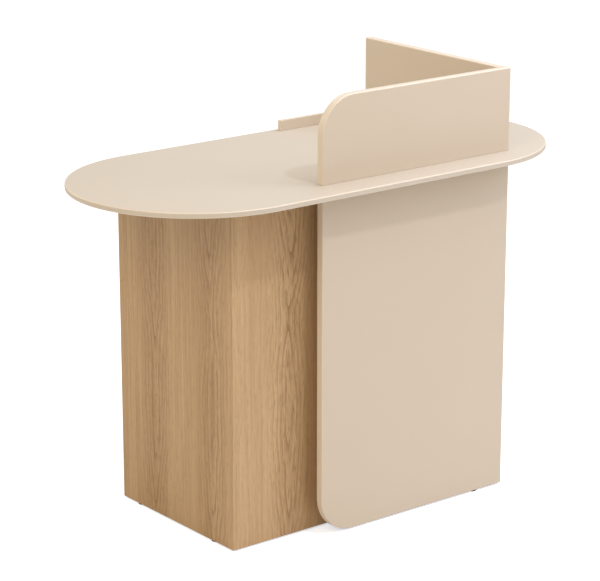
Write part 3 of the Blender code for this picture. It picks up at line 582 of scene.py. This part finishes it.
def make_gable():
    """The cream right-hand side, drilled for the shelf."""
    low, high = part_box("right_gable")
    piece = board("right_gable_board", low, high)
    round_edges(piece, lambda a, b: same(a.y, high.y) and same(b.y, high.y) or same(a.z, b.z),
                LACQUER_ARRIS, 4, 1)
    drill_pin_rows(piece, ("shelf_pin_3", "shelf_pin_4"), low.x)
    return hand_over(piece, "cabinet", cream, ["right_gable"], cream_edge_wear_and_highlight)


# ---- oak and white boards ----
def make_boards():
    """Squared boards with softly rounded arrises in paler oak."""
    plain = {oak_shelf: ["bottom_board", "drawer_deck", "niche_shelf", "open_shelf"],
             oak_rail: ["top_rail_rear", "top_rail_front", "plinth"],
             oak_front_painted_light: ["panel_spacer_left", "panel_spacer_right"]}
    for finish, nodes in plain.items():
        for node in nodes:
            piece = board(node + "_piece", *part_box(node))
            round_edges(piece, lambda a, b: True, OAK_ARRIS, 3, 1)
            hand_over(piece, "cabinet", finish, [node], oak_arris)


def make_divider():
    """The upright beside the open bay: notched for both rails, drilled, and slotted for the lock."""
    low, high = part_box("divider")
    piece = board("divider_piece", low, high)
    round_edges(piece, lambda a, b: same(a.x, b.x) and same(a.y, high.y) and same(b.y, high.y),
                OAK_ARRIS, 3, 1)
    left, right = low.x - 2 * OAK_ARRIS, high.x + 2 * OAK_ARRIS
    rail_low, rail_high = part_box("top_rail_rear")
    cut_away(piece, board("notch", (left, rail_low.y - POCKET_GAP, rail_low.z - POCKET_GAP),
                          (right, rail_high.y + PAST_OPEN_SIDE, rail_high.z + PAST_OPEN_SIDE)))
    rail_low, rail_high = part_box("top_rail_front")
    cut_away(piece, board("notch", (left, rail_low.y - PAST_OPEN_SIDE, rail_low.z - POCKET_GAP),
                          (right, rail_high.y + POCKET_GAP, rail_high.z + PAST_OPEN_SIDE)))
    drill_pin_rows(piece, ("shelf_pin_1", "shelf_pin_2"), high.x)
    cam_low, cam_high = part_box("door_lock_cam")
    lock = middle_of("door_lock_housing")
    reach = cam_high.z - lock.z
    half = (cam_high.x - cam_low.x) / 2
    cut_away(piece, board("slot", (left, cam_low.y - STRIKE_GAP, lock.z - half - STRIKE_GAP),
                          (lock.x + reach + STRIKE_GAP, cam_high.y + POCKET_GAP * 2, lock.z + reach)))
    hand_over(piece, "cabinet", oak_wall, ["divider"], oak_arris)


def make_front(node, body, pull, housing):
    """A drawer front or door, with a pocket for the flush pull and a hole for the lock."""
    low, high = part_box(node)
    piece = board(node + "_piece", low, high)
    round_edges(piece, lambda a, b: True, OAK_ARRIS, 3, 1)
    pull_low, pull_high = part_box(pull)
    spot = Vector((middle_of(pull).x, high.y, middle_of(pull).z))
    radius = (pull_high.x - pull_low.x) / 2 - PULL_LIP + POCKET_GAP
    depth = high.y - pull_low.y + POCKET_GAP
    cut_away(piece, cylinder_cutter(spot, radius, 2 * depth, (0, 1, 0)))
    lock_low, lock_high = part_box(housing)
    radius = (lock_high.x - lock_low.x) / 2 - LOCK_LIP + POCKET_GAP
    cut_away(piece, cylinder_cutter(middle_of(housing), radius, 4 * (high.y - low.y), (0, 1, 0)))
    hand_over(piece, body, oak_doors, [node], oak_arris)


# ---- metal and plastic fittings ----
def make_pull(node, body):
    """A turned flush cup: rounded flange, undercut mouth for the fingers, soft inner corner."""
    low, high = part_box(node)
    centre = Vector((middle_of(node).x, 0.0, middle_of(node).z))
    flange = (high.x - low.x) / 2
    cup = flange - PULL_LIP
    inside = cup - PULL_WALL
    mouth = inside - PULL_UNDERCUT
    floor = low.y + PULL_WALL
    top = high.y
    seat = top - PULL_WALL
    soft = 5 * FINE_ARRIS
    profile = [(0.0, floor)] + round_corner((inside - soft, floor + soft), soft, -90, 0, 6)
    profile += [(inside, seat - PULL_WALL), (mouth + FINE_ARRIS, seat - PULL_WALL)]
    profile += round_corner((mouth + FINE_ARRIS, top - FINE_ARRIS), FINE_ARRIS, 180, 90)
    profile += round_corner((flange - 2 * FINE_ARRIS, top - 2 * FINE_ARRIS), 2 * FINE_ARRIS, 90, 0)
    profile += [(flange, seat), (cup, seat), (cup, low.y), (0.0, low.y)]
    piece = turned(node + "_cup", profile, centre, (0, 1, 0))
    hand_over(piece, body, nickel, [node])


def make_lock(name, body, lock_body):
    """A cam lock's flanged housing, and its plug with a keyway."""
    low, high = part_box(name + "_housing")
    centre = Vector((middle_of(name + "_housing").x, 0.0, middle_of(name + "_housing").z))
    flange = (high.x - low.x) / 2
    barrel = flange - LOCK_LIP
    bore = barrel - LOCK_WALL + LOCK_RUN
    seat = high.y - PULL_WALL
    profile = [(bore, low.y), (bore, high.y - FINE_ARRIS), (bore + FINE_ARRIS, high.y)]
    profile += round_corner((flange - 2 * FINE_ARRIS, high.y - 2 * FINE_ARRIS), 2 * FINE_ARRIS, 90, 0)
    profile += [(flange, seat), (barrel, seat), (barrel, low.y), (bore, low.y)]
    piece = turned(name + "_housing_piece", profile, centre, (0, 1, 0), 64)
    hand_over(piece, body, nickel, [name + "_housing"])

    low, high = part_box(name + "_plug")
    radius = (high.x - low.x) / 2
    profile = [(0.0, high.y)]
    profile += round_corner((radius - FINE_ARRIS, high.y - FINE_ARRIS), FINE_ARRIS, 90, 0)
    profile += [(radius, low.y), (0.0, low.y)]
    piece = turned(name + "_plug_piece", profile, centre, (0, 1, 0), 64)
    width, height, depth = KEYWAY
    reach = Vector((width / 2, depth, height / 2))
    face = Vector((centre.x, high.y, centre.z))
    slot = board("keyway", face - reach, face + reach)
    round_edges(slot, lambda a, b: same(a.x, b.x) and same(a.z, b.z), width * 0.45, 4)
    cut_away(piece, slot)
    hand_over(piece, lock_body, nickel, [name + "_plug"])


def make_outlet():
    """The cable outlet's flanged ring with its ledge, and the notched cap with a dished face."""
    low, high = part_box("grommet_ring")
    centre = Vector((middle_of("grommet_ring").x, middle_of("grommet_ring").y, 0.0))
    cap_low, cap_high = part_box("grommet_cap")
    flange = (high.x - low.x) / 2
    radius = (cap_high.x - cap_low.x) / 2
    bore = radius + 2 * POCKET_GAP
    outer = OUTLET_RADIUS - POCKET_GAP
    ledge = cap_low.z - POCKET_GAP
    wall = outer - bore
    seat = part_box("worktop")[1].z + POCKET_GAP
    profile = [(bore, high.z - FINE_ARRIS), (bore + FINE_ARRIS, high.z)]
    profile += round_corner((flange - wall, seat), wall, 90, 0, 8)
    profile += [(outer, seat), (outer, low.z), (bore, low.z), (bore, ledge - wall)]
    profile += [(bore - 1.5 * wall, ledge - wall), (bore - 1.5 * wall, ledge), (bore, ledge)]
    profile += [profile[0]]
    piece = turned("grommet_ring_piece", profile, centre, (0, 0, 1), 128)
    hand_over(piece, "cabinet", plastic, ["grommet_ring"])

    top = cap_high.z
    inner = radius - CAP_BORDER
    profile = [(0.0, top - CAP_DISH), (inner, top - CAP_DISH), (inner + CAP_DISH, top)]
    profile += round_corner((radius - FINE_ARRIS, top - FINE_ARRIS), FINE_ARRIS, 90, 0)
    profile += [(radius, cap_low.z), (0.0, cap_low.z)]
    piece = turned("grommet_cap_piece", profile, centre, (0, 0, 1), 128)
    half, depth = NOTCH
    low = Vector((centre.x - half, centre.y + radius - depth, cap_low.z - depth))
    high = Vector((centre.x + half, centre.y + 2 * radius, top + depth))
    notch = board("notch", low, high)
    round_edges(notch, lambda a, b: same(a.y, low.y) and same(b.y, low.y) and same(a.x, b.x),
                NOTCH_ROUND, 8)
    cut_away(piece, notch)
    hand_over(piece, "grommet_cap", plastic, ["grommet_cap"])


def make_pins():
    """Four shelf pins: one turned for each side of the bay, and copied."""
    for nodes, facing in ((("shelf_pin_1", "shelf_pin_2"), 1), (("shelf_pin_3", "shelf_pin_4"), -1)):
        low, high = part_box(nodes[0])
        head = (high.z - low.z) / 2
        stem = head - PIN_LIP
        tip = high.x if facing > 0 else -low.x
        end = low.x if facing > 0 else -high.x
        centre = Vector((0.0, middle_of(nodes[0]).y, middle_of(nodes[0]).z))
        profile = [(0.0, tip)] + round_corner((head - 2 * FINE_ARRIS, tip - 2 * FINE_ARRIS),
                                              2 * FINE_ARRIS, 90, 0)
        profile += [(head, tip - PIN_HEAD + POCKET_GAP), (stem, tip - PIN_HEAD + POCKET_GAP)]
        profile += [(stem, end + FINE_ARRIS), (stem - FINE_ARRIS, end), (0.0, end)]
        piece = turned(nodes[0] + "_piece", profile, centre, (facing, 0, 0), 32)
        other = copy_to(piece, nodes[1] + "_piece", middle_of(nodes[1]) - middle_of(nodes[0]))
        for made, node in ((piece, nodes[0]), (other, nodes[1])):
            hand_over(made, "cabinet", zinc, [node])


def make_glides():
    """Six nylon pads with a rounded edge."""
    first = "glide_1"
    low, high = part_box(first)
    radius = (high.x - low.x) / 2
    soft = 2 * FINE_ARRIS
    profile = [(0.0, high.z), (radius, high.z)]
    profile += round_corner((radius - soft, low.z + soft), soft, 0, -90) + [(0.0, low.z)]
    centre = Vector((middle_of(first).x, middle_of(first).y, 0.0))
    piece = turned(first + "_pad", profile, centre, (0, 0, 1), 48)
    pads = {first: piece}
    for number in range(2, 7):
        node = f"glide_{number}"
        pads[node] = copy_to(piece, node + "_pad", middle_of(node) - middle_of(first))
    for node, pad in pads.items():
        hand_over(pad, "cabinet", nylon, [node])


def make_screws():
    """Countersunk cross-head screws in the hinge leaves, two to a leaf."""
    leaf_low, leaf_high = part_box("upper_hinge_fixed_leaf")
    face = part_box("door")[1].y + LEAF
    soft = 2 * FINE_ARRIS
    profile = [(0.0, soft / 2), (SCREW_RADIUS * 0.6, soft / 2), (SCREW_RADIUS * 0.92, 0.0),
               (SCREW_RADIUS, -FINE_ARRIS), (SCREW_RADIUS / 2, -2 * FINE_ARRIS - LEAF),
               (0.0, -2 * FINE_ARRIS - LEAF)]
    first = Vector((leaf_low.x + SCREW_INSET, face, (leaf_low.z + leaf_high.z) / 2))
    master = turned("screw", profile, first, (0, 1, 0), 32)
    length, width, depth = RECESS
    for size in ((length, width), (width, length)):
        reach = Vector((size[0] / 2, depth, size[1] / 2))
        cut_away(master, board("recess", first - reach, first + reach))
    for hinge in ("upper", "lower"):
        for leaf, body in (("fixed", "cabinet"), ("door", "door")):
            low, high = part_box(f"{hinge}_hinge_{leaf}_leaf")
            x = low.x + SCREW_INSET if leaf == "fixed" else high.x - SCREW_INSET
            for side, where in ((1, "top"), (-1, "bottom")):
                spot = Vector((x, face, (low.z + high.z) / 2 + side * SCREW_SPREAD))
                screw = copy_to(master, f"{hinge}_hinge_{leaf}_screw_{where}", spot - first)
                hand_over(screw, body, zinc_bright)
    bpy.data.objects.remove(master)


def make_catch():
    """The door catch's housing with two steel poles, and its plate on the door."""
    low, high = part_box("door_catch")
    piece = board("door_catch_housing", low, high)
    round_edges(piece, lambda a, b: True, 2 * FINE_ARRIS, 3)
    hand_over(piece, "cabinet", nylon, ["door_catch"])
    inset = Vector(((high.x - low.x) / 6, 0.0, (high.z - low.z) / 5))
    for level, name in ((0, "lower"), (1, "upper")):
        z = low.z + inset.z * (1 + 2 * level)
        pole = board(f"door_catch_{name}_pole", (low.x + inset.x, high.y - PULL_WALL, z),
                     (high.x - inset.x, high.y + POCKET_GAP / 3, z + inset.z))
        round_edges(pole, lambda a, b: same(a.y, b.y), POCKET_GAP, 2)
        hand_over(pole, "cabinet", zinc)
    low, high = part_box("door_catch_plate")
    piece = board("door_catch_plate_piece", low, high)
    round_edges(piece, lambda a, b: same(a.x, b.x) and same(a.z, b.z), PULL_UNDERCUT, 6)
    round_edges(piece, lambda a, b: same(a.y, b.y), POCKET_GAP, 2)
    hand_over(piece, "door", zinc, ["door_catch_plate"])


make_worktop()
make_panel()
make_screen()
make_return()
make_upstand()
make_gable()
make_boards()
make_divider()
make_front("drawer_front", "drawer", "drawer_pull", "drawer_lock_housing")
make_front("door", "door", "door_pull", "door_lock_housing")
make_pull("drawer_pull", "drawer")
make_pull("door_pull", "door")
make_lock("drawer_lock", "drawer", "drawer_lock")
make_lock("door_lock", "door", "door_lock")
make_outlet()
make_pins()
make_glides()
make_screws()
make_catch()


# ---- floor, light and camera ----
def make_stage():
    """A pale floor that the camera sees as white."""
    deselect()
    bpy.ops.mesh.primitive_plane_add(size=FLOOR_SPAN)
    floor = name_piece("floor")
    made = Finish("pale_floor")
    cloud = made.noise(made.stretch((1.5, 1.5, 1.5)), 2.0)
    shade = tuple(0.97 * part for part in FLOOR_PALE)
    floor.data.materials.clear()
    floor.data.materials.append(made.finish(made.tint(cloud, FLOOR_PALE, shade), 0.8))
    glow = made.add("ShaderNodeEmission", {"Color": GLOW_COLOUR, "Strength": FLOOR_GLOW})
    lit = made.add("ShaderNodeAddShader", {0: made.shader.outputs[0], 1: glow.outputs[0]})
    seen = made.add("ShaderNodeLightPath").outputs["Is Camera Ray"]
    both = made.add("ShaderNodeMixShader", {0: seen, 1: made.shader.outputs[0], 2: lit.outputs[0]})
    made.tree.links.new(both.outputs[0], made.tree.nodes["Material Output"].inputs["Surface"])


def hang_lamp(name, away, distance, size, watts, colour):
    """A round lamp this way from the counter, turned to face it."""
    lamp = bpy.data.lights.new(name, "AREA")
    lamp.shape = "DISK"
    lamp.size = size
    lamp.energy = watts
    lamp.color = colour
    hung = bpy.data.objects.new(name, lamp)
    away = Vector(away).normalized()
    hung.location = Vector(LIGHT_AIM) + distance * away
    hung.rotation_euler = (-away).to_track_quat("-Z", "Y").to_euler()
    bpy.context.scene.collection.objects.link(hung)


def make_light():
    """Warm light bounced all round, a white backdrop, and the lamps: a small key and wide fills."""
    world = bpy.data.worlds.new("studio")
    bpy.context.scene.world = world
    world.use_nodes = True
    tree = world.node_tree
    bounced = tree.nodes["Background"]
    bounced.inputs["Color"].default_value = (*BOUNCED_LIGHT, 1.0)
    backdrop = tree.nodes.new("ShaderNodeBackground")
    backdrop.inputs["Color"].default_value = (1.0, 1.0, 1.0, 1.0)
    seen = tree.nodes.new("ShaderNodeLightPath")
    both = tree.nodes.new("ShaderNodeMixShader")
    tree.links.new(seen.outputs["Is Camera Ray"], both.inputs[0])
    tree.links.new(bounced.outputs[0], both.inputs[1])
    tree.links.new(backdrop.outputs[0], both.inputs[2])
    tree.links.new(both.outputs[0], tree.nodes["World Output"].inputs["Surface"])
    for lamp in LAMPS:
        hang_lamp(*lamp)


def make_camera():
    """A long lens from the left, above the worktop, aimed at the middle of the counter."""
    lens = bpy.data.cameras.new("camera")
    lens.sensor_width = SENSOR_MM
    lens.lens = LENS_MM
    camera = bpy.data.objects.new("camera", lens)
    camera.location = CAMERA_PLACE
    towards = Vector(CAMERA_AIM) - Vector(CAMERA_PLACE)
    camera.rotation_euler = towards.to_track_quat("-Z", "Y").to_euler()
    bpy.context.scene.collection.objects.link(camera)
    bpy.context.scene.camera = camera


make_stage()
make_light()
make_camera()
bpy.context.scene.view_settings.view_transform = "Standard"

deselect()
